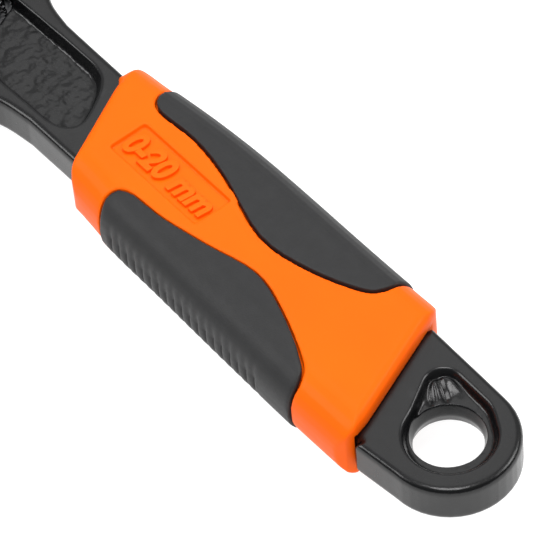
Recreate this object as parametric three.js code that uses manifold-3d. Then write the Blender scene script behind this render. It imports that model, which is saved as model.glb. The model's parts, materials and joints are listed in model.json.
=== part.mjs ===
// Adjustable wrench, 150 mm class, lying flat: +X runs along the handle to the head, +Z is through the thickness.
// Everything is drawn with the round end of the eye's recess at X = Y = 0 and the middle of the thickness at Z = 0.
// The last lines move the finished wrench so that its origin is the bottom centre of its box.
import * as THREE from "three";
import { ParametricGeometry } from "three/addons/geometries/ParametricGeometry.js";
import { mergeVertices } from "three/addons/utils/BufferGeometryUtils.js";
import Module from "manifold-3d";

const wasm = await Module();
wasm.setup();

// ---- driving dimensions, in millimetres and degrees ----

// Eye end with the hang hole
const HOLE_RADIUS = 4.8; // at its waist, in the middle of the thickness
const HOLE_MOUTH = 5.7; // radius at the outer faces
const HOLE_X = 0.8; // axis, from the middle of the recess's round end
const HOLE_Y = -0.5;
const EYE_RADIUS = 9.8;
const EYE_SHIFT_X = 0.1; // centre of the rounded end, from the middle of the recess's round end
const EYE_SHIFT_Y = -0.2;
const EYE_FLARE = 0.6; // how much wider each side is where the grip starts
const EYE_RECESS_DEPTH = 1.2;
const EYE_RECESS_DRAFT = 0.35;
const EYE_RECESS_RADIUS = 5.95; // of its floor
const EYE_RECESS_POINT = 9.1; // from the middle of the round end to the point of the teardrop's floor
const EYE_RECESS_SIDE = 7.15; // from the middle to its straight side, along the edge of the eye
const EYE_RECESS_SLANT = 29; // where the round end starts and stops, in degrees
const EYE_RECESS_TURN = 240;

// Forged blade that runs from the eye through the grip to the head
const BLADE_THICKNESS = 6.2;
const BLADE_EDGE = 0.8; // rounding of the long edges
const TANG_WIDTH = 19.0; // inside the grip, at the eye end
const NECK_WIDTH = 15.5;
const NECK_RIM = 2.1; // land on each side of the neck's recess
const NECK_RECESS_DEPTH = 1.9;
const NECK_RECESS_DRAFT = 0.8;
const NECK_RECESS_START = 2.9; // from the grip to the recess

// Head
const HEAD_REACH = 107.7; // hang hole to worm, along the handle
const HEAD_OFFSET = 1.8; // worm centre beside the handle's centreline
const HEAD_ANGLE = 22.5;
const HEAD_THICKNESS = 11.0;
const HEAD_EDGE = 0.6;
const HEAD_RAMP = 6.0; // length of the slope from the blade up to the head
const HEAD_WALL = 3.1; // steel behind the blind end of the slide channel
const HEEL_WALL = 2.65; // steel between the channel and the bed

// Jaws
const JAW_CAPACITY = 20.0;
const JAW_DEPTH = 19.5; // from the bed to the tips
const JAW_FOOT = 26.0; // length of the movable jaw along its slide
const JAW_TIP = 3.2; // flat width of each tip
const FACE_TO_WORM = 10.5; // fixed jaw's face to the middle of the worm
const REST_OPENING = 10.0;

// Slide, rack and worm
const BAR_RADIUS = 4.0;
const WEB_THICKNESS = 4.0;
const WORM_RADIUS = 5.5;
const WORM_LENGTH = 12.0;
const THREAD_PITCH = 2.5;
const THREAD_DEPTH = 1.3;
const THREAD_FLANK = 20; // half angle of thread and rack teeth
const TEETH_ENGAGED = 2; // teeth still in the worm with the jaw wide open
const THREAD_BACKLASH = 0.2; // on each flank
const TOOTH_CLEARANCE = 0.25; // tip to root

// Pin and spring
const PIN_RADIUS = 1.7;
const PIN_ROOT = 3.6; // length held in the blind hole
const PIN_HEAD_RADIUS = 2.5;
const PIN_HEAD_LENGTH = 4.4;
const PIN_SLOT_WIDTH = 0.7;
const PIN_SLOT_DEPTH = 1.0;
const SPRING_WIRE = 0.25; // radius
const SPRING_RADIUS = 2.55;
const SPRING_POCKET_RADIUS = 3.15;
const SPRING_POCKET_DEPTH = 3.4;
const SPRING_TURNS = 3.5;

// Grip
const GRIP_START = 11.5; // on the centreline
const GRIP_LENGTH = 64.4;
const GRIP_THICKNESS = 11.5;
const GRIP_HALF_WIDTH = 12.8;
const GRIP_EDGE = 5.0;
const GRIP_WAIST = 2.3; // how much each side draws in towards the neck
const GRIP_CORNER = 2.2; // how far in the rounding of the ends' corners starts, for a share of 1
const GRIP_END_EDGE = 1.5; // rounding where the ends meet the faces
const GRIP_SLANT_EYE = 22.1;
const GRIP_SLANT_NECK = 27.8;
const PAD_THICKNESS = 1.0;
const PAD_PROUD = 0.3;
const RIB_COUNT = 19;
const RIB_PITCH = 1.81;
const RIB_DEPTH = 0.5;
const RIB_MIDDLE = 0.495; // share of the way along the grip
const LEGEND_LENGTH = 19.4;
const LEGEND_WIDTH = 6.4;
const LEGEND_DEPTH = 0.6;
const LEGEND_INSET = 6.7; // from the grip's neck end, on the centreline

// Clearances
const SLIDE_CLEARANCE = 0.25;
const SEAT_GAP = 0.3; // between pieces that touch or are moulded together

// ---- sizes that follow ----

const wormHalf = WORM_LENGTH / 2;
const windowHalf = wormHalf + SEAT_GAP;
const windowReach = WORM_RADIUS + 0.5;
const threadRoot = WORM_RADIUS - THREAD_DEPTH;
const rackTip = threadRoot + TOOTH_CLEARANCE;
const rackRoot = WORM_RADIUS + TOOTH_CLEARANCE;
const barAxis = rackTip + BAR_RADIUS;
const channelRadius = BAR_RADIUS + SLIDE_CLEARANCE;
const bedLevel = barAxis + channelRadius + HEEL_WALL;
const footLevel = bedLevel + SEAT_GAP;
const tipLevel = bedLevel + JAW_DEPTH;
const toeLength = JAW_CAPACITY - FACE_TO_WORM - wormHalf + TEETH_ENGAGED * THREAD_PITCH;
const channelEnd = -FACE_TO_WORM - toeLength - 2 * SLIDE_CLEARANCE;
const backLevel = channelEnd - HEAD_WALL;
const heelLevel = JAW_FOOT - FACE_TO_WORM;
const bladeHalf = BLADE_THICKNESS / 2;
const headHalf = HEAD_THICKNESS / 2;
const gripHalf = GRIP_THICKNESS / 2;
const gripEnd = GRIP_START + GRIP_LENGTH;
const padRun = GRIP_LENGTH - 0.6; // the outlines of the pads and sides are drawn in shares of these two
const padSpan = GRIP_HALF_WIDTH - 0.9;
const eyeSlope = Math.tan(THREE.MathUtils.degToRad(GRIP_SLANT_EYE));
const neckSlope = Math.tan(THREE.MathUtils.degToRad(GRIP_SLANT_NECK));
const headTurn = THREE.MathUtils.degToRad(HEAD_ANGLE);

// The head's own frame: X is the way the jaws open, Y is the way the movable jaw slides, origin in the worm.
const headFrame = new THREE.Matrix4()
  .makeRotationZ(headTurn)
  .setPosition(HEAD_REACH, HEAD_OFFSET, 0);

const FAR = 400; // length of a cutter that only has to pass through
const SIDE_STEPS = 30; // straight pieces in each long side of the grip

// ---- solids ----

function toSolid(geometry, matrix) {
  const plain = geometry.index ? geometry.toNonIndexed() : geometry.clone();
  plain.deleteAttribute("normal");
  plain.deleteAttribute("uv");
  if (matrix) plain.applyMatrix4(matrix);
  const merged = mergeVertices(plain, 1e-4);
  return new wasm.Manifold(
    new wasm.Mesh({
      numProp: 3,
      vertProperties: merged.attributes.position.array,
      triVerts: new Uint32Array(merged.index.array),
    }),
  );
}

function toMesh(name, solid, material) {
  const made = solid.getMesh();
  const geometry = new THREE.BufferGeometry();
  geometry.setAttribute("position", new THREE.BufferAttribute(new Float32Array(made.vertProperties), 3));
  geometry.setIndex(new THREE.BufferAttribute(new Uint32Array(made.triVerts), 1));
  geometry.computeVertexNormals();
  const mesh = new THREE.Mesh(geometry, material);
  mesh.name = name;
  return mesh;
}

// A plate with the given outline from -half to +half, its edges rounded by edge, its outline grown by grow.
function plate(shape, half, { edge = 0, steps = 2, grow = 0 } = {}) {
  const geometry = new THREE.ExtrudeGeometry(shape, {
    depth: 2 * (half - edge),
    bevelEnabled: edge > 0 || grow !== 0,
    bevelThickness: edge,
    bevelSize: edge,
    bevelOffset: grow - edge,
    bevelSegments: edge > 0 ? steps : 1,
    curveSegments: 6,
  });
  return geometry.translate(0, 0, edge - half);
}

// A tool for a pocket with sloped walls: the floor has the given outline, and the mouth is wider by draft.
function pocketTool(shape, floorLevel, depth, draft) {
  const geometry = new THREE.ExtrudeGeometry(shape, {
    depth: depth,
    bevelThickness: depth,
    bevelSize: draft,
    bevelSegments: 1,
    curveSegments: 6,
  });
  return geometry.translate(0, 0, floorLevel + depth);
}

// The same tool for the underside: mirrored in Z, with each triangle turned round so that it still faces out.
function underside(geometry) {
  const flipped = (geometry.index ? geometry.toNonIndexed() : geometry.clone()).scale(1, 1, -1);
  const positions = flipped.attributes.position;
  const corner = new THREE.Vector3();
  const other = new THREE.Vector3();
  for (let i = 0; i < positions.count; i += 3) {
    corner.fromBufferAttribute(positions, i);
    other.fromBufferAttribute(positions, i + 1);
    positions.setXYZ(i, other.x, other.y, other.z);
    positions.setXYZ(i + 1, corner.x, corner.y, corner.z);
  }
  return flipped;
}

// A round bar along +Y in the frame given, from one end to the other.
function roundBar(radius, from, to, x = 0, sides = 32) {
  return new THREE.CylinderGeometry(radius, radius, to - from, sides).translate(x, (from + to) / 2, 0);
}

function outline(points) {
  return new THREE.Shape(points);
}

function smooth(points, steps) {
  return new THREE.SplineCurve(points).getPoints(steps);
}

function at(x, y) {
  return new THREE.Vector2(x, y);
}

// A point of the head, given in the head's own frame.
function onHead(x, y) {
  const point = new THREE.Vector3(x, y, 0).applyMatrix4(headFrame);
  return at(point.x, point.y);
}

// ---- one-piece forging: eye, tang, neck, head and fixed jaw ----

function eyeHalfWidth() {
  return EYE_RADIUS + EYE_FLARE;
}

function bladeOutline() {
  const eye = [];
  const eyeSteps = 22;
  for (let i = 0; i <= eyeSteps; i += 1) {
    const angle = Math.PI / 2 + (Math.PI * i) / eyeSteps;
    const round = at(EYE_RADIUS * Math.cos(angle), EYE_RADIUS * Math.sin(angle));
    eye.push(round.add(at(EYE_SHIFT_X, EYE_SHIFT_Y)));
  }
  const eyeEdge = eyeHalfWidth();
  const tang = TANG_WIDTH / 2;
  const neck = NECK_WIDTH / 2;
  const lowerStep = GRIP_START + eyeEdge * eyeSlope;
  const upperStep = GRIP_START - eyeEdge * eyeSlope;
  const backCurve = smooth(
    [
      at(HEAD_REACH - 13.5, -neck - 0.1),
      at(HEAD_REACH - 8.3, -neck - 1.1),
      onHead(-8.4, -FACE_TO_WORM - 0.3),
      onHead(-3.4, backLevel + 4.9),
      onHead(3.2, backLevel + 1.0),
      onHead(barAxis + 1.5, backLevel),
      onHead(bedLevel + 2.0, backLevel + 0.9),
      onHead(bedLevel + 9.5, backLevel + 3.7),
      onHead(tipLevel - 1.8, backLevel + 6.4),
      onHead(tipLevel, -FACE_TO_WORM - JAW_TIP),
    ],
    44,
  );
  const heelCurve = smooth(
    [
      onHead(5.2, heelLevel),
      onHead(1.6, heelLevel - 0.4),
      onHead(-3.6, heelLevel - 1.3),
      at(HEAD_REACH - 13.7, neck + 3.1),
      at(HEAD_REACH - 18.9, neck + 1.0),
      at(HEAD_REACH - 24.5, neck + 0.1),
    ],
    22,
  );
  return outline([
    ...eye,
    at(lowerStep, -eyeEdge),
    at(lowerStep, -tang),
    at(gripEnd + neck * neckSlope, -neck),
    ...backCurve,
    onHead(tipLevel, -FACE_TO_WORM),
    onHead(bedLevel, -FACE_TO_WORM),
    onHead(bedLevel, heelLevel),
    ...heelCurve,
    at(gripEnd - neck * neckSlope, neck),
    at(upperStep, tang),
    at(upperStep, eyeEdge),
  ]);
}

// The slope from the thin blade up to the full thickness of the head, seen from the side, extruded across it.
function headEnvelope() {
  const rampStart = -windowReach + 0.6;
  const rampEnd = rampStart + HEAD_RAMP;
  const far = tipLevel + HEAD_WALL;
  const profile = outline([
    at(rampStart, -bladeHalf),
    at(rampEnd, -headHalf),
    at(far, -headHalf),
    at(far, headHalf),
    at(rampEnd, headHalf),
    at(rampStart, bladeHalf),
  ]);
  return new THREE.ExtrudeGeometry(profile, { depth: FAR, bevelEnabled: false })
    .translate(0, 0, -FAR / 2)
    .rotateX(Math.PI / 2);
}

// Floor of the teardrop around the hang hole: a round end, drawn out to a blunt point by the grip.
function eyeRecess() {
  const from = THREE.MathUtils.degToRad(EYE_RECESS_SLANT);
  const to = THREE.MathUtils.degToRad(EYE_RECESS_TURN);
  const round = new THREE.EllipseCurve(0, -0.2, EYE_RECESS_RADIUS, EYE_RECESS_RADIUS, from, to).getPoints(20);
  const side = -EYE_RECESS_SIDE;
  const point = smooth(
    [
      at(-0.4, side + 0.35),
      at(2.2, side),
      at(EYE_RECESS_POINT - 2.2, side),
      at(EYE_RECESS_POINT - 0.6, side + 0.6),
      at(EYE_RECESS_POINT, side + 2.2),
      at(EYE_RECESS_POINT - 0.4, side + 3.7),
    ],
    14,
  );
  return outline([...round, ...point]);
}

// Hang hole: narrowest in the middle of the thickness, and wider at both faces.
function hangHole() {
  const flare = (HOLE_MOUTH - HOLE_RADIUS) / bladeHalf;
  const reach = bladeHalf + 1;
  const wide = HOLE_RADIUS + flare * reach;
  const profile = [at(0, -reach), at(wide, -reach), at(HOLE_RADIUS, 0), at(wide, reach), at(0, reach)];
  return new THREE.LatheGeometry(profile, 40).rotateX(Math.PI / 2).translate(HOLE_X, HOLE_Y, 0);
}

function neckRecess() {
  const half = NECK_WIDTH / 2 - NECK_RIM - NECK_RECESS_DRAFT;
  const start = gripEnd + NECK_RECESS_START + NECK_RECESS_DRAFT;
  const beyond = -windowReach + 1.5;
  return outline([
    at(HEAD_REACH - 16, -half),
    onHead(beyond, -windowHalf + 1.3),
    onHead(beyond, windowHalf - 1.3),
    at(HEAD_REACH - 16, half + 0.6),
    ...smooth(
      [
        at(start - half * neckSlope + 4.6, half + 0.2),
        at(start - half * neckSlope + 2.3, half - 0.5),
        at(start - half * neckSlope + 1.2, half - 2.1),
        at(start - 0.3, 0.2),
        at(start + half * neckSlope - 1.1, -half + 2.3),
        at(start + half * neckSlope + 0.9, -half + 0.5),
        at(start + half * neckSlope + 3.4, -half - 0.1),
      ],
      20,
    ),
  ]);
}

function windowTool() {
  const reach = windowReach;
  return plate(
    outline([at(-reach, -windowHalf), at(reach, -windowHalf), at(reach, windowHalf), at(-reach, windowHalf)]),
    FAR / 2,
  );
}

function slotTool() {
  const depth = tipLevel - barAxis;
  const length = heelLevel + FACE_TO_WORM + FAR / 2;
  return new THREE.BoxGeometry(depth, length, WEB_THICKNESS + 2 * SLIDE_CLEARANCE).translate(
    barAxis + depth / 2,
    length / 2 - FACE_TO_WORM - SLIDE_CLEARANCE,
    0,
  );
}

function handleBody() {
  const shape = bladeOutline();
  const thin = toSolid(plate(shape, bladeHalf, { edge: BLADE_EDGE }));
  const thick = toSolid(plate(shape, headHalf, { edge: HEAD_EDGE, steps: 1 }));
  let body = thin.add(thick.intersect(toSolid(headEnvelope(), headFrame)));

  const eyeFloor = bladeHalf - EYE_RECESS_DEPTH;
  const eyeTool = pocketTool(eyeRecess(), eyeFloor, EYE_RECESS_DEPTH, EYE_RECESS_DRAFT);
  const neckFloor = bladeHalf - NECK_RECESS_DEPTH;
  const neckTool = pocketTool(neckRecess(), neckFloor, NECK_RECESS_DEPTH, NECK_RECESS_DRAFT);
  for (const tool of [eyeTool, neckTool]) {
    body = body.subtract(toSolid(tool));
    body = body.subtract(toSolid(underside(tool)));
  }
  body = body.subtract(toSolid(hangHole()));

  body = body.subtract(toSolid(windowTool(), headFrame));
  body = body.subtract(toSolid(roundBar(channelRadius, channelEnd, FAR / 4, barAxis), headFrame));
  body = body.subtract(toSolid(slotTool(), headFrame));
  const pinBore = roundBar(PIN_RADIUS + SLIDE_CLEARANCE, -windowHalf - PIN_ROOT - SEAT_GAP, windowHalf + FAR / 4, 0, 24);
  const headBore = roundBar(PIN_HEAD_RADIUS + SLIDE_CLEARANCE, pinHeadStart() - SEAT_GAP, FAR / 4, 0, 24);
  body = body.subtract(toSolid(pinBore, headFrame));
  body = body.subtract(toSolid(headBore, headFrame));
  return body;
}

// ---- movable jaw, drawn in the head's frame with the jaws closed ----

function jawOutline() {
  const face = -FACE_TO_WORM;
  const back = smooth(
    [
      at(tipLevel, face + JAW_TIP),
      at(tipLevel - 2.0, face + JAW_TIP + 2.2),
      at(tipLevel - 7.0, face + JAW_TIP + 5.2),
      at(footLevel + 8.6, face + 0.53 * JAW_FOOT),
      at(footLevel + 5.8, face + 0.72 * JAW_FOOT),
      at(footLevel + 4.8, face + 0.9 * JAW_FOOT),
      at(footLevel + 3.4, face + JAW_FOOT - 0.4),
      at(footLevel + 1.8, face + JAW_FOOT),
    ],
    28,
  );
  return outline([at(footLevel, face), at(footLevel, face + JAW_FOOT), ...back.reverse(), at(tipLevel, face)]);
}

// One gap between two rack teeth: wider at its mouth, and turned by the worm's lead so that the thread clears it.
function rackGap(position) {
  const flank = Math.tan(THREE.MathUtils.degToRad(THREAD_FLANK));
  const pitchLevel = (rackTip + WORM_RADIUS) / 2;
  const widthAt = (level) => THREAD_PITCH / 2 + THREAD_BACKLASH - 2 * flank * (level - pitchLevel);
  const mouth = rackTip - TOOTH_CLEARANCE;
  const shape = outline([
    at(mouth, -widthAt(mouth) / 2),
    at(rackRoot, -widthAt(rackRoot) / 2),
    at(rackRoot, widthAt(rackRoot) / 2),
    at(mouth, widthAt(mouth) / 2),
  ]);
  const lead = Math.atan(THREAD_PITCH / (2 * Math.PI * pitchLevel));
  const tool = new THREE.ExtrudeGeometry(shape, { depth: 4 * BAR_RADIUS, bevelEnabled: false });
  return tool.translate(0, 0, -2 * BAR_RADIUS).rotateX(lead).translate(0, position, 0);
}

function movableJaw() {
  const face = -FACE_TO_WORM;
  const toe = face - toeLength;
  let jaw = toSolid(plate(jawOutline(), headHalf, { edge: HEAD_EDGE, steps: 1 }));
  const webDepth = footLevel + 1 - barAxis;
  const web = new THREE.BoxGeometry(webDepth, JAW_FOOT - 2 * SEAT_GAP, WEB_THICKNESS);
  web.translate(barAxis + webDepth / 2, face + JAW_FOOT / 2, 0);
  jaw = jaw.add(toSolid(web));
  jaw = jaw.add(toSolid(roundBar(BAR_RADIUS, toe, face + JAW_FOOT - SEAT_GAP, barAxis)));
  // The thread's crest stands at whole pitches from the middle of the worm, so the gaps do too when the jaw rests.
  const first = Math.ceil((toe + REST_OPENING) / THREAD_PITCH) - 1;
  const last = Math.floor((face + JAW_FOOT + REST_OPENING) / THREAD_PITCH) + 1;
  for (let i = first; i <= last; i += 1) {
    jaw = jaw.subtract(toSolid(rackGap(i * THREAD_PITCH - REST_OPENING)));
  }
  return jaw;
}

// ---- worm, its pin and its spring, in the head's frame ----

// Radius of the threaded surface at a distance along the thread's profile from the middle of a crest.
function threadRadius(distance) {
  const flank = Math.tan(THREE.MathUtils.degToRad(THREAD_FLANK));
  const pitchLevel = (rackTip + WORM_RADIUS) / 2;
  const crestHalf = (THREAD_PITCH / 2 - THREAD_BACKLASH) / 2 - flank * (WORM_RADIUS - pitchLevel);
  const turned = distance - THREAD_PITCH * Math.round(distance / THREAD_PITCH);
  const below = Math.max(0, Math.abs(turned) - crestHalf) / flank;
  return Math.max(threadRoot, WORM_RADIUS - below);
}

function wormScrew() {
  const around = 40;
  const ringsPerPitch = 12;
  const rings = Math.round(((WORM_LENGTH + 2) / THREAD_PITCH) * ringsPerPitch);
  const half = wormHalf + 1;
  const surface = (u, v, target) => {
    const angle = -2 * Math.PI * u;
    const ring = Math.round(v * (rings + 2));
    const along = THREE.MathUtils.clamp(-half + (2 * half * (ring - 1)) / rings, -half, half);
    const cap = ring === 0 || ring === rings + 2;
    const radius = cap ? 0 : threadRadius(along + (THREAD_PITCH * angle) / (2 * Math.PI));
    target.set(radius * Math.cos(angle), along, radius * Math.sin(angle));
  };
  let worm = toSolid(new ParametricGeometry(surface, around, rings + 2));
  if (worm.volume() < 0) throw new Error("the worm's surface is inside out");
  const chamfer = 0.6;
  const blank = new THREE.LatheGeometry(
    [
      at(0, -wormHalf),
      at(WORM_RADIUS - chamfer, -wormHalf),
      at(WORM_RADIUS + 0.1, -wormHalf + chamfer),
      at(WORM_RADIUS + 0.1, wormHalf - chamfer),
      at(WORM_RADIUS - chamfer, wormHalf),
      at(0, wormHalf),
    ],
    around,
  );
  worm = worm.intersect(toSolid(blank));
  worm = worm.subtract(toSolid(roundBar(PIN_RADIUS + SLIDE_CLEARANCE, -wormHalf - 1, wormHalf + 1, 0, 24)));
  const pocketEnd = SPRING_POCKET_DEPTH - wormHalf;
  worm = worm.subtract(toSolid(roundBar(SPRING_POCKET_RADIUS, -wormHalf - 1, pocketEnd, 0, 24)));
  return worm;
}

function pinHeadStart() {
  return windowHalf + 3.0;
}

function wormPin() {
  const start = -windowHalf - PIN_ROOT;
  const headStart = pinHeadStart();
  const end = headStart + PIN_HEAD_LENGTH;
  const point = 0.4;
  const profile = [
    at(0, start),
    at(PIN_RADIUS - point, start),
    at(PIN_RADIUS, start + point),
    at(PIN_RADIUS, headStart),
    at(PIN_HEAD_RADIUS, headStart),
    at(PIN_HEAD_RADIUS, end - point),
    at(PIN_HEAD_RADIUS - point, end),
    at(0, end),
  ];
  const slot = new THREE.BoxGeometry(PIN_SLOT_WIDTH, 2 * PIN_SLOT_DEPTH, 3 * PIN_HEAD_RADIUS).translate(0, end, 0);
  return toSolid(new THREE.LatheGeometry(profile, 24)).subtract(toSolid(slot));
}

class Helix extends THREE.Curve {
  constructor(radius, from, to, turns) {
    super();
    Object.assign(this, { radius, from, to, turns });
  }

  getPoint(t, target = new THREE.Vector3()) {
    const angle = 2 * Math.PI * this.turns * t;
    const along = this.from + (this.to - this.from) * t;
    return target.set(this.radius * Math.cos(angle), along, this.radius * Math.sin(angle));
  }
}

function wormSpring() {
  const margin = SPRING_WIRE + SEAT_GAP / 2;
  const coil = new Helix(
    SPRING_RADIUS,
    -windowHalf + margin,
    -wormHalf + SPRING_POCKET_DEPTH - margin,
    SPRING_TURNS,
  );
  const section = new THREE.Shape().absarc(0, 0, SPRING_WIRE, 0, 2 * Math.PI);
  return toSolid(
    new THREE.ExtrudeGeometry(section, {
      extrudePath: coil,
      steps: Math.round(SPRING_TURNS * 18),
      curveSegments: 4,
    }),
  );
}

// ---- grip: hard sleeve with two soft pads let into it ----

// Place along the grip, from 0 at the eye end to 1 close to the neck end, to X.
function alongGrip(share) {
  return GRIP_START + padRun * share;
}

// The grip's side under the ribbed pad, from beyond the neck end to beyond the eye end.
function ribbedSide() {
  const ribSide = GRIP_HALF_WIDTH - 0.4;
  const drawn = GRIP_HALF_WIDTH - GRIP_WAIST;
  return smooth(
    [
      at(alongGrip(1.3), drawn - 0.3),
      at(alongGrip(1.15), drawn - 0.1),
      at(alongGrip(1.0), drawn),
      at(alongGrip(0.88), drawn + 0.3),
      at(alongGrip(0.76), ribSide - 0.9),
      at(alongGrip(0.6), ribSide - 0.72),
      at(alongGrip(0.44), ribSide - 0.48),
      at(alongGrip(0.28), ribSide - 0.3),
      at(alongGrip(0.12), ribSide - 0.2),
      at(alongGrip(-0.04), ribSide - 0.3),
      at(alongGrip(-0.3), ribSide - 0.45),
    ],
    SIDE_STEPS,
  );
}

// Both long sides of the grip, run on past its ends so that the ends can be cut square to the faces.
function gripSides() {
  const full = GRIP_HALF_WIDTH + 0.3;
  const drawn = GRIP_HALF_WIDTH - GRIP_WAIST;
  const smoothSide = smooth(
    [
      at(alongGrip(-0.3), -full - 0.5),
      at(alongGrip(-0.12), -full - 0.45),
      at(alongGrip(0.04), -full - 0.4),
      at(alongGrip(0.2), -full - 0.1),
      at(alongGrip(0.36), -full),
      at(alongGrip(0.52), -full),
      at(alongGrip(0.68), -full + 0.15),
      at(alongGrip(0.84), -drawn - 1.8),
      at(alongGrip(1.0), -drawn - 0.7),
      at(alongGrip(1.15), -drawn),
      at(alongGrip(1.3), -drawn + 0.6),
    ],
    SIDE_STEPS,
  );
  // Long last stretches, so that the rounding of the edges never folds over at the corners.
  return outline([
    at(alongGrip(-0.5), -full - 0.6),
    ...smoothSide,
    at(alongGrip(1.5), -drawn + 1.1),
    at(alongGrip(1.5), drawn - 0.8),
    ...ribbedSide(),
    at(alongGrip(-0.5), GRIP_HALF_WIDTH - 1.2),
  ]);
}

// The slanted lines where the grip ends, with each corner cut off.
function gripEnds() {
  const wide = 2 * GRIP_HALF_WIDTH;
  const neckSide = GRIP_HALF_WIDTH - GRIP_WAIST;
  const eyeEndAt = (y) => at(GRIP_START - y * eyeSlope, y);
  const neckEndAt = (y) => at(gripEnd - y * neckSlope, y);
  const corners = [
    { endAt: eyeEndAt, y: -GRIP_HALF_WIDTH - 0.7, inward: 1, cut: 1.5 * GRIP_CORNER },
    { endAt: neckEndAt, y: -neckSide - 0.8, inward: -1, cut: 3.3 * GRIP_CORNER },
    { endAt: neckEndAt, y: neckSide + 0.3, inward: -1, cut: 1.2 * GRIP_CORNER },
    { endAt: eyeEndAt, y: GRIP_HALF_WIDTH - 0.4, inward: 1, cut: 2.4 * GRIP_CORNER },
  ];
  const points = corners.map(({ endAt, y, inward, cut }) => {
    const side = Math.sign(y);
    const onEnd = endAt(y - side * cut);
    const onSide = at(endAt(y).x + inward * cut, y);
    const outside = at(onSide.x, side * wide);
    const round = new THREE.QuadraticBezierCurve(onEnd, endAt(y), onSide).getPoints(4);
    return inward * side < 0 ? [...round, outside] : [outside, ...round.reverse()];
  });
  return outline(points.flat());
}

// The grip's rounded body, grown or shrunk all over by an amount.
function gripBody(grow) {
  const sides = toSolid(plate(gripSides(), gripHalf + grow, { edge: GRIP_EDGE + grow, steps: 7, grow }));
  return sides.intersect(toSolid(plate(gripEnds(), gripHalf + grow, { edge: GRIP_END_EDGE, steps: 3 })));
}

// Outline of the plain pad, seen from above: it covers one long side and reaches in to the middle of the grip.
function smoothPadOutline() {
  const side = padSpan;
  const inner = smooth(
    [
      at(alongGrip(0.955), -side * 0.84),
      at(alongGrip(0.948), -side * 0.62),
      at(alongGrip(0.91), -side * 0.485),
      at(alongGrip(0.79), -side * 0.515),
      at(alongGrip(0.665), -side * 0.415),
      at(alongGrip(0.478), -side * 0.145),
      at(alongGrip(0.335), -side * 0.25),
      at(alongGrip(0.212), -side * 0.515),
      at(alongGrip(0.182), -side * 0.715),
      at(alongGrip(0.18), -side * 0.94),
    ],
    36,
  );
  return outline([...inner, at(alongGrip(0.18), -2 * side), at(alongGrip(0.955), -2 * side)]);
}

// Outline of the ribbed pad on the other long side.
function ribbedPadOutline() {
  const side = padSpan;
  const inner = smooth(
    [
      at(alongGrip(0.117), side * 1.02),
      at(alongGrip(0.12), side * 0.83),
      at(alongGrip(0.155), side * 0.645),
      at(alongGrip(0.29), side * 0.355),
      at(alongGrip(0.405), side * 0.227),
      at(alongGrip(0.54), side * 0.387),
      at(alongGrip(0.665), side * 0.517),
      at(alongGrip(0.775), side * 0.565),
      at(alongGrip(0.805), side * 0.76),
      at(alongGrip(0.79), side * 1.0),
    ],
    36,
  );
  return outline([...inner, at(alongGrip(0.79), 2 * side), at(alongGrip(0.117), 2 * side)]);
}

function gripSleeve() {
  let sleeve = gripBody(0);
  const floor = gripBody(-PAD_THICKNESS - SEAT_GAP);
  for (const padShape of [smoothPadOutline(), ribbedPadOutline()]) {
    const pocket = toSolid(plate(padShape, GRIP_THICKNESS, { grow: SEAT_GAP / 2 }));
    sleeve = sleeve.subtract(pocket.subtract(floor));
  }
  sleeve = sleeve.subtract(toSolid(plate(bladeOutline(), bladeHalf + SEAT_GAP, { grow: SEAT_GAP })));
  const legendEnd = gripEnd - LEGEND_INSET;
  const legend = new THREE.BoxGeometry(LEGEND_LENGTH, LEGEND_WIDTH, 2 * LEGEND_DEPTH);
  sleeve = sleeve.subtract(toSolid(legend.translate(legendEnd - LEGEND_LENGTH / 2, SEAT_GAP, gripHalf)));
  return sleeve;
}

function softPad(padShape) {
  const inner = gripBody(-PAD_THICKNESS);
  const cut = toSolid(plate(padShape, GRIP_THICKNESS, { grow: -SEAT_GAP / 2 }));
  return gripBody(PAD_PROUD).subtract(inner).intersect(cut);
}

// Where a side that runs from the neck end to the eye end stands at X.
function sideAt(points, x) {
  const next = points.findIndex((point) => point.x <= x);
  const from = points[next - 1];
  const to = points[next];
  return from.y + ((to.y - from.y) * (x - from.x)) / (to.x - from.x);
}

function ribbedPad() {
  let pad = softPad(ribbedPadOutline());
  const middle = alongGrip(RIB_MIDDLE);
  const cutter = 2 * RIB_DEPTH;
  const side = ribbedSide();
  for (let i = 0; i < RIB_COUNT; i += 1) {
    const x = middle + (i - (RIB_COUNT - 1) / 2) * RIB_PITCH;
    const edgeY = sideAt(side, x) + PAD_PROUD;
    const groove = new THREE.CylinderGeometry(cutter, cutter, 2 * GRIP_THICKNESS, 4);
    groove.rotateX(Math.PI / 2).translate(x, edgeY + cutter - RIB_DEPTH, 0);
    pad = pad.subtract(toSolid(groove));
  }
  return pad;
}

// ---- finishes ----

function finish(color, roughness, metalness) {
  return new THREE.MeshStandardMaterial({ color, roughness, metalness });
}

const blackSteel = finish(0x26282a, 0.35, 0.6);
const brightSteel = finish(0x8a8d90, 0.35, 0.9);
const springSteel = finish(0xb0b2b4, 0.3, 1.0);
const orangePlastic = finish(0xff6a10, 0.45, 0.0);
const softBlack = finish(0x2b2b2c, 0.8, 0.0);

// ---- assembly ----

const head = new THREE.Group();
head.applyMatrix4(headFrame);
head.add(toMesh("worm_screw", wormScrew(), brightSteel));
head.add(toMesh("worm_pin", wormPin(), brightSteel.clone()));
head.add(toMesh("worm_spring", wormSpring(), springSteel));
const jaw = toMesh("movable_jaw", movableJaw(), blackSteel.clone());
jaw.position.y = REST_OPENING;
head.add(jaw);

const wrench = new THREE.Group();
wrench.add(head);
wrench.add(toMesh("handle_body", handleBody(), blackSteel));
wrench.add(toMesh("grip_sleeve", gripSleeve(), orangePlastic));
wrench.add(toMesh("grip_pad_smooth", softPad(smoothPadOutline()), softBlack));
wrench.add(toMesh("grip_pad_ribbed", ribbedPad(), softBlack.clone()));

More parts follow.
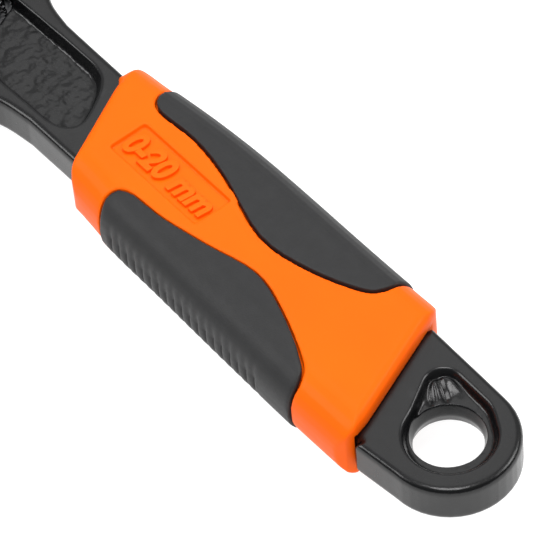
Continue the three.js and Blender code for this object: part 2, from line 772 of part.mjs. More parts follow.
const box = new THREE.Box3().setFromObject(wrench, true);
const middle = box.getCenter(new THREE.Vector3());
wrench.position.set(-middle.x, -middle.y, -box.min.z);

export default wrench;
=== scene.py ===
"""Looks of an adjustable wrench with a two-material grip, built around its packed CAD model."""

import json
import math

import bmesh
import bpy
import numpy as np
from mathutils import Matrix, Vector, noise


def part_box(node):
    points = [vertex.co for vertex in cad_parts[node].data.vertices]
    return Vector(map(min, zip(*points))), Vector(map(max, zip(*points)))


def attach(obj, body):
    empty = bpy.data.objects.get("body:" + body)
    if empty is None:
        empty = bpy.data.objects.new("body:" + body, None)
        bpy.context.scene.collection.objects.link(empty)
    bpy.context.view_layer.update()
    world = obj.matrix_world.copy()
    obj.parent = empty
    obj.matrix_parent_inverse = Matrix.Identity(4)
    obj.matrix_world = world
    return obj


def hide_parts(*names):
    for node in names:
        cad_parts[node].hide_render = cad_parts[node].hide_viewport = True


bl_info = {
    "name": "Adjustable Wrench",
    "version": (1, 0, 0),
    "blender": (4, 5, 0),
    "location": "View3D > Sidebar > Wrench",
    "description": "Builds the forged, moulded and turned pieces of an adjustable wrench, and its studio",
    "category": "Object",
}

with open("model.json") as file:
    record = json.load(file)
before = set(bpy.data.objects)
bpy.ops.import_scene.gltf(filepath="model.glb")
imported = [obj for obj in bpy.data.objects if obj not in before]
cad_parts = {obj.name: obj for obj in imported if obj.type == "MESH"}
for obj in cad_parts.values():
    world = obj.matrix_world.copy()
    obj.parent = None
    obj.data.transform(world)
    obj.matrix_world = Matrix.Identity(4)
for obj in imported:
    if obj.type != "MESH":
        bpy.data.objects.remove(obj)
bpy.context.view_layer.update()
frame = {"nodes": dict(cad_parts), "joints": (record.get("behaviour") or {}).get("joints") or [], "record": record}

MM = 0.001
TRIANGLE_LIMIT = 190_000

# ---- places, all from the packed model ----

JOINTS = {joint["name"]: joint for joint in frame["joints"]}
SLIDE = Vector(JOINTS["jaw_slide"]["axis"]).normalized()
ACROSS = Vector((SLIDE.y, -SLIDE.x, 0.0))
WORM_CENTRE = Vector(JOINTS["worm_turn"]["pos_m"])
BODY_LOW, BODY_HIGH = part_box("handle_body")
PAD_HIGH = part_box("grip_pad_ribbed")[1]


def opening_centre(name):
    """Middle of one of the record's openings."""
    for opening in frame["record"]["physics"]["openings"]:
        if opening["name"] == name:
            low, high = (Vector(corner) for corner in opening["box_m"])
            return (low + high) / 2
    raise RuntimeError(f"the record has no opening named {name}")


MID_HEIGHT = (BODY_LOW.z + BODY_HIGH.z) / 2
HOLE = opening_centre("hang_hole")
HOLE.z = MID_HEIGHT
ORIGIN = HOLE - Vector((0.8 * MM, -0.5 * MM, 0.0))  # middle of the round end of the eye's recess
GRIP_START = ORIGIN.x + 11.5 * MM
GRIP_END = ORIGIN.x + 75.9 * MM
GRIP_TOP = MID_HEIGHT + 5.75 * MM
PAD_RUN = 63.8 * MM  # length along which the outlines of the pads are drawn
RIB_MIDDLE = 0.495  # share of that length
PANEL_DEPTH = 0.6 * MM

# Directions over the table: away from the camera, and to its right
HEADING = math.radians(55.2)
AWAY = Vector((math.sin(HEADING), -math.cos(HEADING), 0))
RIGHT = Vector((-math.cos(HEADING), -math.sin(HEADING), 0))


# ---- sizes and colours that a user may change ----


class ForgingSettings(bpy.types.PropertyGroup):
    """Forged handle and jaw."""

    grain: bpy.props.FloatProperty(
        name="Forged grain",
        description="Height of the rough texture on the floors of the forged recesses",
        default=0.07 * MM,
        unit="LENGTH",
    )
    colour: bpy.props.FloatVectorProperty(
        name="Coating",
        description="Colour of the black coating",
        default=(0.0022, 0.0023, 0.0026),
        subtype="COLOR",
        size=3,
    )
    gloss: bpy.props.FloatProperty(
        name="Coating roughness",
        description="Roughness of the black coating, before its variation",
        default=0.22,
        subtype="FACTOR",
    )


class GripSettings(bpy.types.PropertyGroup):
    """Two-material grip."""

    rib_pitch: bpy.props.FloatProperty(
        name="Rib pitch",
        description="Distance from one finger rib to the next",
        default=1.81 * MM,
        unit="LENGTH",
    )
    rib_height: bpy.props.FloatProperty(
        name="Rib height",
        description="Extra depth of the valleys between the ribs",
        default=0.16 * MM,
        unit="LENGTH",
    )
    orange: bpy.props.FloatVectorProperty(
        name="Hard plastic",
        description="Colour of the moulded sleeve",
        default=(0.96, 0.124, 0.0012),
        subtype="COLOR",
        size=3,
    )
    rubber: bpy.props.FloatVectorProperty(
        name="Soft pads",
        description="Colour of the soft pads",
        default=(0.0150, 0.0150, 0.0155),
        subtype="COLOR",
        size=3,
    )
    legend: bpy.props.StringProperty(
        name="Legend",
        description="Raised capacity legend in the sleeve's panel",
        default="0-20 mm",
    )


class WormSettings(bpy.types.PropertyGroup):
    """Worm, its pin and its spring."""

    knurl_count: bpy.props.IntProperty(
        name="Knurl notches",
        description="Notches round the crest of the worm's thread",
        default=36,
    )
    knurl_depth: bpy.props.FloatProperty(
        name="Knurl depth",
        description="Depth of each notch",
        default=0.24 * MM,
        unit="LENGTH",
    )
    steel: bpy.props.FloatVectorProperty(
        name="Turned steel",
        description="Colour of the blackened, turned steel",
        default=(0.075, 0.076, 0.079),
        subtype="COLOR",
        size=3,
    )
    wire: bpy.props.FloatVectorProperty(
        name="Spring wire",
        description="Colour of the bright spring wire",
        default=(0.49, 0.493, 0.50),
        subtype="COLOR",
        size=3,
    )


class StudioSettings(bpy.types.PropertyGroup):
    """Floor, light and camera."""

    lens: bpy.props.FloatProperty(
        name="Focal length",
        description="Focal length on a sensor 36 mm wide",
        default=284.7,
        unit="CAMERA",
    )
    distance: bpy.props.FloatProperty(
        name="Distance",
        description="From the camera to the middle of its view",
        default=0.58,
        unit="LENGTH",
    )
    elevation: bpy.props.FloatProperty(
        name="Elevation",
        description="How far the camera looks down",
        default=math.radians(50.35),
        subtype="ANGLE",
    )
    heading: bpy.props.FloatProperty(
        name="Heading",
        description="Turn of the camera round the upright",
        default=HEADING,
        subtype="ANGLE",
    )
    roll: bpy.props.FloatProperty(
        name="Roll",
        description="Turn of the picture about the line of sight",
        default=math.radians(5.7),
        subtype="ANGLE",
    )


# ---- mesh helpers ----


def smoothstep(low, high, value):
    """0 below low, 1 above high, and an eased step between them."""
    share = np.clip((value - low) / (high - low), 0.0, 1.0)
    return share * share * (3.0 - 2.0 * share)


def new_piece(name, mesh):
    """An object at the origin that shows the mesh."""
    piece = bpy.data.objects.new(name, mesh)
    bpy.context.scene.collection.objects.link(piece)
    return piece


def merged_copy(node):
    """A bmesh of a CAD node's mesh, with its loose triangles joined."""
    shape = bmesh.new()
    shape.from_mesh(frame["nodes"][node].data)
    bmesh.ops.remove_doubles(shape, verts=shape.verts, dist=0.002 * MM)
    return shape


def to_mesh(shape, name):
    mesh = bpy.data.meshes.new(name)
    shape.to_mesh(mesh)
    shape.free()
    return mesh


def settle(piece):
    """Applies the piece's modifiers to its mesh."""
    graph = bpy.context.evaluated_depsgraph_get()
    finished = bpy.data.meshes.new_from_object(piece.evaluated_get(graph))
    finished.name = piece.name
    spare = piece.data
    piece.modifiers.clear()
    piece.data = finished
    bpy.data.meshes.remove(spare)


def refine(piece, voxel, passes):
    """Rebuilds the skin as an even grid of small faces and relaxes it, which rounds its edges softly."""
    coarse = 1.0
    grid = piece.modifiers.new("Even skin", "REMESH")
    grid.mode = "VOXEL"
    grid.voxel_size = voxel * coarse
    grid.use_smooth_shade = True
    relax = piece.modifiers.new("Relaxed edges", "SMOOTH")
    relax.factor = 0.5
    relax.iterations = max(2, round(passes / coarse**2))
    settle(piece)


def thin_out(piece):
    """Drops the triangles that flat stretches don't need."""
    piece.data.calc_loop_triangles()
    count = len(piece.data.loop_triangles)
    if count > TRIANGLE_LIMIT:
        fewer = piece.modifiers.new("Fewer triangles", "DECIMATE")
        fewer.ratio = TRIANGLE_LIMIT / count
        settle(piece)


def shade_smooth(piece):
    piece.data.polygons.foreach_set("use_smooth", [True] * len(piece.data.polygons))
    piece.data.update()


def read_points(mesh):
    points = np.empty(len(mesh.vertices) * 3)
    mesh.vertices.foreach_get("co", points)
    return points.reshape(-1, 3)


def read_normals(mesh):
    normals = np.empty(len(mesh.vertices) * 3)
    mesh.vertices.foreach_get("normal", normals)
    return normals.reshape(-1, 3)


def write_points(mesh, points):
    mesh.vertices.foreach_set("co", points.ravel())
    mesh.update()


def rough_noise(points, scale, octaves=3):
    """Fractal noise from -1 to 1 at each point, with features about 1 / scale across."""
    values = [noise.fractal(Vector(point) * scale, 0.8, 2.0, octaves) for point in points]
    return np.array(values)


# ---- finishes ----


class Finish:
    """A node material under construction: a Principled shader and the patterns that feed it."""

    def __init__(self, name):
        self.material = bpy.data.materials.new(name)
        self.material.use_nodes = True
        self.nodes = self.material.node_tree.nodes
        self.links = self.material.node_tree.links
        self.shader = self.nodes["Principled BSDF"]
        place = self.nodes.new("ShaderNodeTexCoord")
        self.in_mm = self.nodes.new("ShaderNodeMapping")
        self.in_mm.inputs["Scale"].default_value = (1 / MM, 1 / MM, 1 / MM)
        self.links.new(place.outputs["Object"], self.in_mm.inputs["Vector"])

    def set(self, **values):
        for socket, value in values.items():
            self.shader.inputs[socket.replace("_", " ")].default_value = value

    def noise(self, size, detail=3.0, stretch=(1, 1, 1), distortion=0.0):
        """Noise whose features are about size millimetres across."""
        lay = self.nodes.new("ShaderNodeMapping")
        lay.inputs["Scale"].default_value = stretch
        self.links.new(self.in_mm.outputs["Vector"], lay.inputs["Vector"])
        pattern = self.nodes.new("ShaderNodeTexNoise")
        pattern.inputs["Scale"].default_value = 1.0 / size
        pattern.inputs["Detail"].default_value = detail
        pattern.inputs["Distortion"].default_value = distortion
        self.links.new(lay.outputs["Vector"], pattern.inputs["Vector"])
        return pattern.outputs["Fac"]

    def cells(self, size):
        """Rounded cells about size millimetres across."""
        pattern = self.nodes.new("ShaderNodeTexVoronoi")
        pattern.feature = "SMOOTH_F1"
        pattern.inputs["Scale"].default_value = 1.0 / size
        self.links.new(self.in_mm.outputs["Vector"], pattern.inputs["Vector"])
        return pattern.outputs["Distance"]

    def spread(self, value, low, high, start=0.0, end=1.0):
        """Maps the value from start..end onto low..high."""
        scale = self.nodes.new("ShaderNodeMapRange")
        scale.inputs["From Min"].default_value = start
        scale.inputs["From Max"].default_value = end
        scale.inputs["To Min"].default_value = low
        scale.inputs["To Max"].default_value = high
        self.links.new(value, scale.inputs["Value"])
        return scale.outputs["Result"]

    def blend(self, share, first, second):
        """Mixes two colours, each a tuple or a socket."""
        mix = self.nodes.new("ShaderNodeMix")
        mix.data_type = "RGBA"
        self.links.new(share, mix.inputs["Factor"])
        for socket, colour in (("A", first), ("B", second)):
            target = [i for i in mix.inputs if i.name == socket and i.type == "RGBA"][0]
            if isinstance(colour, tuple):
                target.default_value = (*colour, 1.0)
            else:
                self.links.new(colour, target)
        return [o for o in mix.outputs if o.type == "RGBA"][0]

    def worn_edges(self, start=0.515, end=0.56):
        """1 on convex edges, 0 elsewhere."""
        shape = self.nodes.new("ShaderNodeNewGeometry")
        return self.spread(shape.outputs["Pointiness"], 0.0, 1.0, start, end)

    def bump(self, height, distance, below=None):
        """Bump of the given distance in millimetres, laid over another bump."""
        relief = self.nodes.new("ShaderNodeBump")
        relief.inputs["Distance"].default_value = distance * MM
        relief.inputs["Strength"].default_value = 1.0
        self.links.new(height, relief.inputs["Height"])
        if below is not None:
            self.links.new(below, relief.inputs["Normal"])
        return relief.outputs["Normal"]

    def feed(self, socket, value):
        self.links.new(value, self.shader.inputs[socket])


def black_coating(settings):
    """Semi-gloss black coating over forged steel: faint orange peel, cloudy gloss and rubbed edges."""
    finish = Finish("Black coated steel")
    base = tuple(settings.colour)
    rubbed = tuple(3.0 * c for c in base)
    cloudy = finish.blend(finish.noise(6.0, 2.0), base, tuple(1.35 * c for c in base))
    finish.feed("Base Color", finish.blend(finish.worn_edges(), cloudy, rubbed))
    cloud = finish.noise(1.6, 4.0)
    finish.feed("Roughness", finish.spread(cloud, settings.gloss - 0.05, settings.gloss + 0.10))
    peel = finish.bump(finish.noise(0.9, 2.0), 0.010)
    finish.feed("Normal", finish.bump(finish.noise(0.22, 3.0), 0.0035, peel))
    finish.set(Specular_IOR_Level=0.5, Metallic=0.0)
    return finish.material


def moulded_orange(settings):
    """Satin moulded plastic: soft flow marks and a fine spark-eroded grain."""
    finish = Finish("Orange moulded plastic")
    base = tuple(settings.orange)
    deep = (0.93 * base[0], 0.88 * base[1], base[2])
    finish.feed("Base Color", finish.blend(finish.noise(9.0, 2.0), deep, base))
    finish.feed("Roughness", finish.spread(finish.noise(0.8, 3.0), 0.36, 0.46))
    flow = finish.bump(finish.noise(5.0, 1.0, stretch=(0.4, 1, 1)), 0.03)
    finish.feed("Normal", finish.bump(finish.cells(0.16), 0.004, flow))
    finish.set(Specular_IOR_Level=0.11)
    return finish.material


def soft_rubber(settings):
    """Matte soft-touch rubber: fine grain and faint patches of dust."""
    finish = Finish("Soft black rubber")
    base = tuple(settings.rubber)
    dusty = tuple(1.5 * c for c in base)
    finish.feed("Base Color", finish.blend(finish.noise(2.4, 4.0), base, dusty))
    finish.feed("Roughness", finish.spread(finish.noise(0.5, 3.0), 0.46, 0.60))
    grain = finish.bump(finish.cells(0.18), 0.010)
    finish.feed("Normal", finish.bump(finish.noise(1.8, 2.0), 0.02, grain))
    finish.set(Specular_IOR_Level=0.36)
    return finish.material


def turned_steel(settings):
    """Blackened turned steel: cloudy film, fine tool marks and brighter crests."""
    finish = Finish("Turned steel")
    base = tuple(settings.steel)
    dull = tuple(0.55 * c for c in base)
    film = finish.blend(finish.noise(1.4, 5.0), dull, base)
    finish.feed("Base Color", finish.blend(finish.worn_edges(0.50, 0.58), film, tuple(2.2 * c for c in base)))
    finish.feed("Roughness", finish.spread(finish.noise(0.6, 4.0), 0.24, 0.42))
    finish.feed("Normal", finish.bump(finish.noise(0.25, 4.0), 0.006))
    finish.set(Metallic=1.0)
    return finish.material


def drawn_wire(settings):
    """Bright drawn spring wire with lengthwise streaks."""
    finish = Finish("Spring wire")
    base = tuple(settings.wire)
    finish.feed("Base Color", finish.blend(finish.noise(0.4, 4.0), tuple(0.7 * c for c in base), base))
    finish.feed("Roughness", finish.spread(finish.noise(0.3, 3.0), 0.2, 0.36))
    finish.feed("Normal", finish.bump(finish.noise(0.12, 3.0), 0.003))
    finish.set(Metallic=1.0)
    return finish.material


def finish_piece(piece, material, body, node=None):
    """Gives the piece its material, its slot and its body, and lets it stand for a CAD node."""
    piece.data.materials.clear()
    piece.data.materials.append(material)
    shade_smooth(piece)
    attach(piece, body)
    if node:
        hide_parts(node)


# ---- forged pieces ----


def teardrop_distance(x, y):
    """Distance in millimetres outside the floor of the eye's recess, which is swept by a shrinking circle."""
    stations = np.linspace(0.0, 1.0, 41)
    places = (0.0, 0.22, 1.0)
    swept_x = np.interp(stations, places, (0.0, 1.5, 6.9))
    swept_y = np.interp(stations, places, (-0.2, -1.8, -4.95))
    swept_radius = np.interp(stations, places, (5.95, 5.25, 2.2))
    nearest = np.full(len(x), np.inf)
    for centre_x, centre_y, radius in zip(swept_x, swept_y, swept_radius):
        nearest = np.minimum(nearest, np.hypot(x - centre_x, y - centre_y) - radius)
    return nearest


def eye_relief(points, settings):
    """Rolls the rim of the eye's recess over into it, and forges a folded ramp into its point."""
    x, y, z = ((points - np.array(ORIGIN)) / MM).T
    from_hole_x, from_hole_y, _ = ((points - np.array(HOLE)) / MM).T
    towards = math.radians(-28.2)  # from the hang hole to the teardrop's point
    along = from_hole_x * math.cos(towards) + from_hole_y * math.sin(towards)
    beside = from_hole_y * math.cos(towards) - from_hole_x * math.sin(towards)
    radius = np.hypot(from_hole_x, from_hole_y)
    outside = teardrop_distance(x, y)
    wall = smoothstep(0.95, -0.35, outside)
    ramp = 0.95 * smoothstep(5.4, 9.6, along)
    fold = np.abs(beside - 0.1) - (0.75 + 0.10 * (9.5 - along))
    folds = -0.45 * np.exp(-((fold / 0.5) ** 2)) * smoothstep(5.0, 6.4, along)
    grain = 0.7 * rough_noise(points / MM, 1.1) * settings.grain / MM
    floor = 3.1 - 1.35 * wall ** 1.2 + smoothstep(0.1, -0.6, outside) * (ramp + folds + grain)
    shaped = smoothstep(1.0, 0.9, outside) * smoothstep(5.15, 5.5, radius) * smoothstep(1.2, 1.7, np.abs(z))
    points[:, 2] = MID_HEIGHT + np.sign(z) * (np.abs(z) + shaped * (floor - np.abs(z))) * MM


def neck_relief(points, settings):
    """Forged grain on the floor of the neck's recesses."""
    x, y, z = ((points - np.array(ORIGIN)) / MM).T
    floor = smoothstep(1.75, 1.35, np.abs(z)) * smoothstep(70.0, 72.0, x)
    coarse = rough_noise(points / MM, 0.45)
    fine = rough_noise(points / MM, 2.1)
    lift = floor * (1.7 * coarse + 0.45 * fine) * settings.grain / MM
    points[:, 2] += np.sign(z) * lift * MM


def skin_waviness(points, normals, height):
    """Slight unevenness that every forged face keeps under its coating."""
    wave = rough_noise(points / MM, 0.16, 2)
    points += normals * (wave * height)[:, None]


def make_forging(settings):
    piece = new_piece("forged_handle", to_mesh(merged_copy("handle_body"), "forged_handle"))
    refine(piece, 0.22 * MM, 5)
    points = read_points(piece.data)
    skin_waviness(points, read_normals(piece.data), 0.02 * MM)
    eye_relief(points, settings)
    neck_relief(points, settings)
    write_points(piece.data, points)
    thin_out(piece)
    finish_piece(piece, black_coating(settings), "wrench", "handle_body")


def make_jaw(settings):
    piece = new_piece("forged_jaw", to_mesh(merged_copy("movable_jaw"), "forged_jaw"))
    refine(piece, 0.17 * MM, 6)
    points = read_points(piece.data)
    skin_waviness(points, read_normals(piece.data), 0.012 * MM)
    write_points(piece.data, points)
    thin_out(piece)
    finish_piece(piece, black_coating(settings), "jaw", "movable_jaw")


# ---- grip ----


def panel_place():
    """Middle of the legend's panel and its half length and half width, set in from the grip's end near the head,
    on the grip's top.
    """
    length, width, inset = 19.4 * MM, 6.4 * MM, 6.7 * MM
    middle = Vector((GRIP_END - inset - length / 2, ORIGIN.y + 0.3 * MM, GRIP_TOP))
    return middle, length / 2, width / 2


def sink_panel(points):
    """Presses the legend's panel into the top of the sleeve with crisp, slightly drafted walls."""
    middle, half_length, half_width = panel_place()
    corner = 0.5 * MM
    dx = np.abs(points[:, 0] - middle.x) - (half_length - corner)
    dy = np.abs(points[:, 1] - middle.y) - (half_width - corner)
    outside = np.hypot(np.maximum(dx, 0), np.maximum(dy, 0)) + np.minimum(np.maximum(dx, dy), 0) - corner
    near = (points[:, 2] > middle.z - 1.2 * MM) & (outside < 1.2 * MM)
    depth = PANEL_DEPTH * smoothstep(0.12 * MM, -0.12 * MM, outside)
    points[near, 2] = (middle.z - depth)[near]


def close_seat(points, normals):
    """Brings the sleeve's inside up close to the blade, as moulding leaves it."""
    y = points[:, 1] - ORIGIN.y
    z = points[:, 2] - MID_HEIGHT
    inward = np.maximum(-normals[:, 2] * np.sign(z), -normals[:, 1] * np.sign(y))
    inside = smoothstep(0.3, 0.7, inward) * smoothstep(3.8 * MM, 3.6 * MM, np.abs(z))
    points += normals * (0.2 * MM * inside)[:, None]


def gate_nib(points):
    """The small stub that moulding left where the grip's neck end meets the blade."""
    near = np.array([ORIGIN.x + 79.1 * MM, ORIGIN.y - 6.2 * MM, MID_HEIGHT + 4.1 * MM])
    away = np.linalg.norm(points - near, axis=1)
    points[:, 0] += 0.9 * MM * np.exp(-((away / (0.85 * MM)) ** 2))


def make_sleeve(settings):
    piece = new_piece("hard_sleeve", to_mesh(merged_copy("grip_sleeve"), "hard_sleeve"))
    refine(piece, 0.20 * MM, 8)
    points = read_points(piece.data)
    close_seat(points, read_normals(piece.data))
    gate_nib(points)
    sink_panel(points)
    write_points(piece.data, points)
    thin_out(piece)
    finish_piece(piece, moulded_orange(settings), "wrench", "grip_sleeve")


def make_legend(settings):
    """Raised numerals on the panel's floor, read from the head towards the eye."""
    middle, half_length, half_width = panel_place()
    letters = bpy.data.curves.new("legend", "FONT")
    letters.body = settings.legend
    letters.align_x = "CENTER"
    letters.align_y = "CENTER"
    letters.shear = 0.12
    letters.offset = 0.03
    letters.extrude = 0.05
    letters.bevel_depth = 0.012
    letters.resolution_u = 6
    lettering = new_piece("legend", letters)
    graph = bpy.context.evaluated_depsgraph_get()
    mesh = bpy.data.meshes.new_from_object(lettering.evaluated_get(graph))
    bpy.data.objects.remove(lettering)
    bpy.data.curves.remove(letters)
    shape = bmesh.new()
    shape.from_mesh(mesh)
    bpy.data.meshes.remove(mesh)
    bmesh.ops.remove_doubles(shape, verts=shape.verts, dist=1e-5)
    low = Vector(map(min, zip(*(v.co for v in shape.verts))))
    high = Vector(map(max, zip(*(v.co for v in shape.verts))))
    size = high - low
    wide = 2 * half_length - 1.3 * MM
    tall = 2 * half_width - 2.1 * MM
    bmesh.ops.translate(shape, verts=shape.verts, vec=-(low + high) / 2)
    bmesh.ops.scale(shape, verts=shape.verts, vec=(wide / size.x, tall / size.y, 0.8 * MM / size.z))
    turn = Matrix.Rotation(math.pi, 3, "Z")
    bmesh.ops.rotate(shape, verts=shape.verts, matrix=turn, cent=(0, 0, 0))
    top = middle.z - 0.08 * MM
    bmesh.ops.translate(shape, verts=shape.verts, vec=(middle.x, middle.y, top - 0.4 * MM))
    piece = new_piece("grip_legend", to_mesh(shape, "grip_legend"))
    finish_piece(piece, bpy.data.materials["Orange moulded plastic"], "wrench")


def rib_scallops(points, normals, settings):
    """Deepens the valleys on the long side and rounds the ribs, which fades out towards the faces."""
    pitch = settings.rib_pitch
    ribs = 19
    middle = GRIP_START + RIB_MIDDLE * PAD_RUN
    phase = (points[:, 0] - middle) / pitch + (ribs - 1) / 2
    along = smoothstep(-0.9, -0.4, phase) * smoothstep(ribs - 0.1, ribs - 0.6, phase)
    valley = 1.0 - np.abs(np.sin(np.pi * phase)) ** 0.8
    side = smoothstep(0.80, 0.97, normals[:, 1])
    points -= normals * (settings.rib_height * valley * along * side)[:, None]


def plain_above_ribs(piece):
    """Irons the ribs out of the upper part of the long side, where the pad rolls over onto its face."""
    points = read_points(piece.data)
    height = (points[:, 2] - MID_HEIGHT) / MM
    weights = smoothstep(0.1, 1.1, height) * smoothstep(6.0 * MM, 5.0 * MM, PAD_HIGH.y - points[:, 1])
    upper = piece.vertex_groups.new(name="upper side")
    for index in np.flatnonzero(weights > 0.01):
        upper.add([int(index)], float(weights[index]), "REPLACE")
    iron = piece.modifiers.new("Plain upper side", "SMOOTH")
    iron.factor = 0.5
    iron.iterations = 50
    iron.vertex_group = upper.name
    settle(piece)
    piece.vertex_groups.clear()


def make_pads(settings):
    rubber = soft_rubber(settings)
    for node, name in (("grip_pad_smooth", "smooth_pad"), ("grip_pad_ribbed", "ribbed_pad")):
        piece = new_piece(name, to_mesh(merged_copy(node), name))
        refine(piece, 0.17 * MM, 6)
        if node == "grip_pad_ribbed":
            points = read_points(piece.data)
            rib_scallops(points, read_normals(piece.data), settings)
            write_points(piece.data, points)
            plain_above_ribs(piece)
        thin_out(piece)
        finish_piece(piece, rubber, "wrench", node)


# ---- worm, pin and spring ----


def in_worm_frame(points):
    """Distance along the worm's axis, distance from it, and angle round it, in metres and radians."""
    away = points - np.array(WORM_CENTRE)
    along = away @ np.array(SLIDE)
    across = away @ np.array(ACROSS)
    up = away[:, 2]
    return along, np.hypot(across, up), np.arctan2(up, across)


def knurl(points, settings):
    """Notches across the crest of the thread."""
    along, radius, angle = in_worm_frame(points)
    crest = smoothstep(4.7 * MM, 5.2 * MM, radius)
    notch = np.clip(np.cos(settings.knurl_count * angle), 0, 1) ** 1.5
    shrink = 1.0 - settings.knurl_depth * crest * notch / np.maximum(radius, MM)
    axis = np.array(SLIDE)
    centre = np.array(WORM_CENTRE) + along[:, None] * axis
    points[:] = centre + (points - centre) * shrink[:, None]


def make_worm(settings):
    steel = turned_steel(settings)
    worm = new_piece("knurled_worm", to_mesh(merged_copy("worm_screw"), "knurled_worm"))
    refine(worm, 0.11 * MM, 3)
    points = read_points(worm.data)
    knurl(points, settings)
    write_points(worm.data, points)
    thin_out(worm)
    finish_piece(worm, steel, "worm", "worm_screw")
    pin = new_piece("slotted_pin", to_mesh(merged_copy("worm_pin"), "slotted_pin"))
    refine(pin, 0.09 * MM, 4)
    finish_piece(pin, steel, "wrench", "worm_pin")


def make_spring(settings):
    """Round wire swept once round the pin for each turn, with closed ends."""
    turns, steps_per_turn, wire, radius = 3.5, 48, 0.25 * MM, 2.55 * MM
    first, last = -5.9 * MM, -3.0 * MM
    steps = round(turns * steps_per_turn)
    shape = bmesh.new()
    ring = bmesh.ops.create_circle(shape, cap_ends=True, radius=wire, segments=16)["verts"]
    upright = Matrix.Rotation(math.pi / 2, 3, ACROSS)
    bmesh.ops.rotate(shape, verts=ring, matrix=upright, cent=(0, 0, 0))
    start = WORM_CENTRE + ACROSS * radius + SLIDE * first
    bmesh.ops.translate(shape, verts=ring, vec=start)
    bmesh.ops.spin(
        shape,
        geom=shape.verts[:] + shape.edges[:] + shape.faces[:],
        cent=WORM_CENTRE,
        axis=SLIDE,
        dvec=SLIDE * (last - first) / steps,
        angle=-2 * math.pi * turns,
        steps=steps,
        use_merge=False,
    )
    bmesh.ops.remove_doubles(shape, verts=shape.verts, dist=0.001 * MM)
    open_edges = [edge for edge in shape.edges if edge.is_boundary]
    bmesh.ops.holes_fill(shape, edges=open_edges)
    bmesh.ops.recalc_face_normals(shape, faces=shape.faces)
    piece = new_piece("coil_spring", to_mesh(shape, "coil_spring"))
    finish_piece(piece, drawn_wire(settings), "wrench", "worm_spring")


# ---- studio ----


def pale_floor():
    """Pale floor that is bright enough to keep shadows faint."""
    mesh = bpy.data.meshes.new("floor")
    shape = bmesh.new()
    bmesh.ops.create_grid(shape, x_segments=1, y_segments=1, size=3.0)
    bmesh.ops.translate(shape, verts=shape.verts, vec=(0, 0, -0.1 * MM))
    shape.to_mesh(mesh)
    shape.free()
    floor = new_piece("floor", mesh)
    material = bpy.data.materials.new("Pale floor")
    material.use_nodes = True
    shader = material.node_tree.nodes["Principled BSDF"]
    shader.inputs["Base Color"].default_value = (0.32, 0.32, 0.32, 1)
    shader.inputs["Roughness"].default_value = 1.0
    shader.inputs["Specular IOR Level"].default_value = 0.0
    shader.inputs["Emission Color"].default_value = (1, 1, 1, 1)
    shader.inputs["Emission Strength"].default_value = 0.9
    floor.data.materials.append(material)


def soft_light(name, towards, distance, size, power, aim=(0, 0, 0), mirrored=True):
    """A large square lamp that faces the place it aims at, and may be left out of reflections."""
    lamp = bpy.data.lights.new(name, "AREA")
    lamp.shape = "SQUARE"
    lamp.size = size
    lamp.energy = power
    holder = bpy.data.objects.new(name, lamp)
    bpy.context.scene.collection.objects.link(holder)
    direction = Vector(towards).normalized()
    holder.location = Vector(aim) + direction * distance
    holder.visible_glossy = mirrored
    holder.rotation_euler = direction.to_track_quat("Z", "Y").to_euler()


def make_camera(settings):
    heading, pitch, roll = settings.heading, settings.elevation, settings.roll
    right = Vector((-math.cos(heading), -math.sin(heading), 0))
    away = Vector((math.sin(heading), -math.cos(heading), 0))
    up = away * math.sin(pitch) + Vector((0, 0, 1)) * math.cos(pitch)
    back = -away * math.cos(pitch) + Vector((0, 0, 1)) * math.sin(pitch)
    x_axis = math.cos(roll) * right - math.sin(roll) * up
    y_axis = math.sin(roll) * right + math.cos(roll) * up
    eye_top = ORIGIN + Vector((0, 0, 3.3 * MM))
    target = eye_top - x_axis * 23.2 * MM + y_axis * 21.2 * MM
    camera = bpy.data.cameras.new("camera")
    camera.lens = settings.lens
    camera.sensor_width = 36
    camera.clip_start = 0.01
    holder = bpy.data.objects.new("camera", camera)
    bpy.context.scene.collection.objects.link(holder)
    turn = Matrix((x_axis, y_axis, back)).transposed().to_4x4()
    holder.matrix_world = Matrix.Translation(target + back * settings.distance) @ turn
    bpy.context.scene.camera = holder


def soft_sky():
    """World light: brightest beyond the wrench and overhead, dark behind the camera and along the horizon."""
    world = bpy.data.worlds.new("studio")
    world.use_nodes = True
    nodes, links = world.node_tree.nodes, world.node_tree.links
    place = nodes.new("ShaderNodeTexCoord")
    towards = nodes.new("ShaderNodeVectorMath")
    towards.operation = "DOT_PRODUCT"
    towards.inputs[1].default_value = (0.70 * AWAY + 0.714 * Vector((0, 0, 1)))
    links.new(place.outputs["Generated"], towards.inputs[0])
    shade = nodes.new("ShaderNodeMapRange")
    shade.interpolation_type = "SMOOTHSTEP"
    shade.inputs["From Min"].default_value = 0.05
    shade.inputs["From Max"].default_value = 1.0
    shade.inputs["To Min"].default_value = 0.15
    shade.inputs["To Max"].default_value = 0.52
    links.new(towards.outputs["Value"], shade.inputs["Value"])
    links.new(shade.outputs["Result"], nodes["Background"].inputs["Strength"])
    nodes["Background"].inputs["Color"].default_value = (1, 1, 1, 1)
    bpy.context.scene.world = world


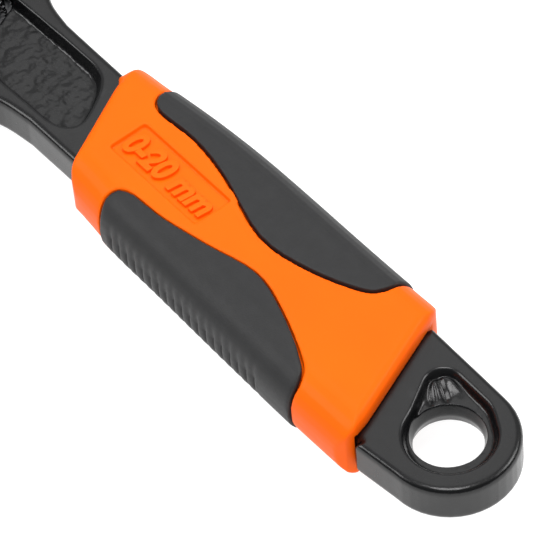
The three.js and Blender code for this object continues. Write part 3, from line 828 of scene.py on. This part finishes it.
def make_studio(settings):
    pale_floor()
    soft_sky()
    upright = Vector((0, 0, 1))
    soft_light("beyond", 0.64 * AWAY + 0.77 * upright, 0.40, 0.22, 0.13, aim=HOLE)
    soft_light("overhead", upright - 0.10 * AWAY, 1.0, 0.32, 3.0)
    soft_light("top", upright + 0.45 * AWAY, 1.0, 0.40, 4.4, mirrored=False)
    soft_light("front", -0.75 * AWAY + 0.66 * upright, 1.2, 0.8, 7.0, mirrored=False)
    soft_light("right", 0.8 * RIGHT + 0.75 * upright + 0.1 * AWAY, 1.0, 0.4, 2.8)
    soft_light("left", -0.8 * RIGHT + 0.75 * upright + 0.1 * AWAY, 1.0, 0.4, 2.8)
    make_camera(settings)
    bpy.context.scene.view_settings.view_transform = "Standard"


# ---- operators ----


class WRENCH_OT_forging(bpy.types.Operator):
    """Build the one-piece forging: eye, tang, neck, head and fixed jaw"""

    bl_idname = "wrench.forging"
    bl_label = "Forged Handle"

    def execute(self, context):
        make_forging(context.scene.wrench_forging)
        return {"FINISHED"}


class WRENCH_OT_jaw(bpy.types.Operator):
    """Build the movable jaw with its rack"""

    bl_idname = "wrench.jaw"
    bl_label = "Movable Jaw"

    def execute(self, context):
        make_jaw(context.scene.wrench_forging)
        return {"FINISHED"}


class WRENCH_OT_worm(bpy.types.Operator):
    """Build the knurled worm and its slotted pin"""

    bl_idname = "wrench.worm"
    bl_label = "Worm and Pin"

    def execute(self, context):
        make_worm(context.scene.wrench_worm)
        return {"FINISHED"}


class WRENCH_OT_spring(bpy.types.Operator):
    """Build the coil spring in the worm's pocket"""

    bl_idname = "wrench.spring"
    bl_label = "Coil Spring"

    def execute(self, context):
        make_spring(context.scene.wrench_worm)
        return {"FINISHED"}


class WRENCH_OT_sleeve(bpy.types.Operator):
    """Build the hard sleeve of the grip and its raised legend"""

    bl_idname = "wrench.sleeve"
    bl_label = "Hard Sleeve"

    def execute(self, context):
        make_sleeve(context.scene.wrench_grip)
        make_legend(context.scene.wrench_grip)
        return {"FINISHED"}


class WRENCH_OT_pads(bpy.types.Operator):
    """Build the two soft pads of the grip"""

    bl_idname = "wrench.pads"
    bl_label = "Soft Pads"

    def execute(self, context):
        make_pads(context.scene.wrench_grip)
        return {"FINISHED"}


class WRENCH_OT_studio(bpy.types.Operator):
    """Lay the pale floor, set the soft lights and place the camera"""

    bl_idname = "wrench.studio"
    bl_label = "Studio"

    def execute(self, context):
        make_studio(context.scene.wrench_studio)
        return {"FINISHED"}


class WRENCH_PT_panel(bpy.types.Panel):
    """Lists the wrench's settings and its pieces"""

    bl_idname = "WRENCH_PT_panel"
    bl_label = "Adjustable Wrench"
    bl_space_type = "VIEW_3D"
    bl_region_type = "UI"
    bl_category = "Wrench"

    def draw(self, context):
        layout = self.layout
        for group in GROUPS:
            box = layout.box()
            box.label(text=group.__doc__)
            settings = getattr(context.scene, GROUPS[group])
            for name in group.__annotations__:
                box.prop(settings, name)
        for operator in OPERATORS:
            layout.operator(operator.bl_idname)


GROUPS = {
    ForgingSettings: "wrench_forging",
    GripSettings: "wrench_grip",
    WormSettings: "wrench_worm",
    StudioSettings: "wrench_studio",
}
OPERATORS = (
    WRENCH_OT_forging,
    WRENCH_OT_jaw,
    WRENCH_OT_worm,
    WRENCH_OT_spring,
    WRENCH_OT_sleeve,
    WRENCH_OT_pads,
    WRENCH_OT_studio,
)


def register():
    for cls in (*GROUPS, *OPERATORS, WRENCH_PT_panel):
        bpy.utils.register_class(cls)
    for group, name in GROUPS.items():
        setattr(bpy.types.Scene, name, bpy.props.PointerProperty(type=group))


def unregister():
    for name in GROUPS.values():
        delattr(bpy.types.Scene, name)
    for cls in reversed((*GROUPS, *OPERATORS, WRENCH_PT_panel)):
        bpy.utils.unregister_class(cls)


def main():
    register()
    bpy.ops.wrench.forging()
    bpy.ops.wrench.jaw()
    bpy.ops.wrench.worm()
    bpy.ops.wrench.spring()
    bpy.ops.wrench.sleeve()
    bpy.ops.wrench.pads()
    bpy.ops.wrench.studio()


if __name__ == "__main__":
    main()
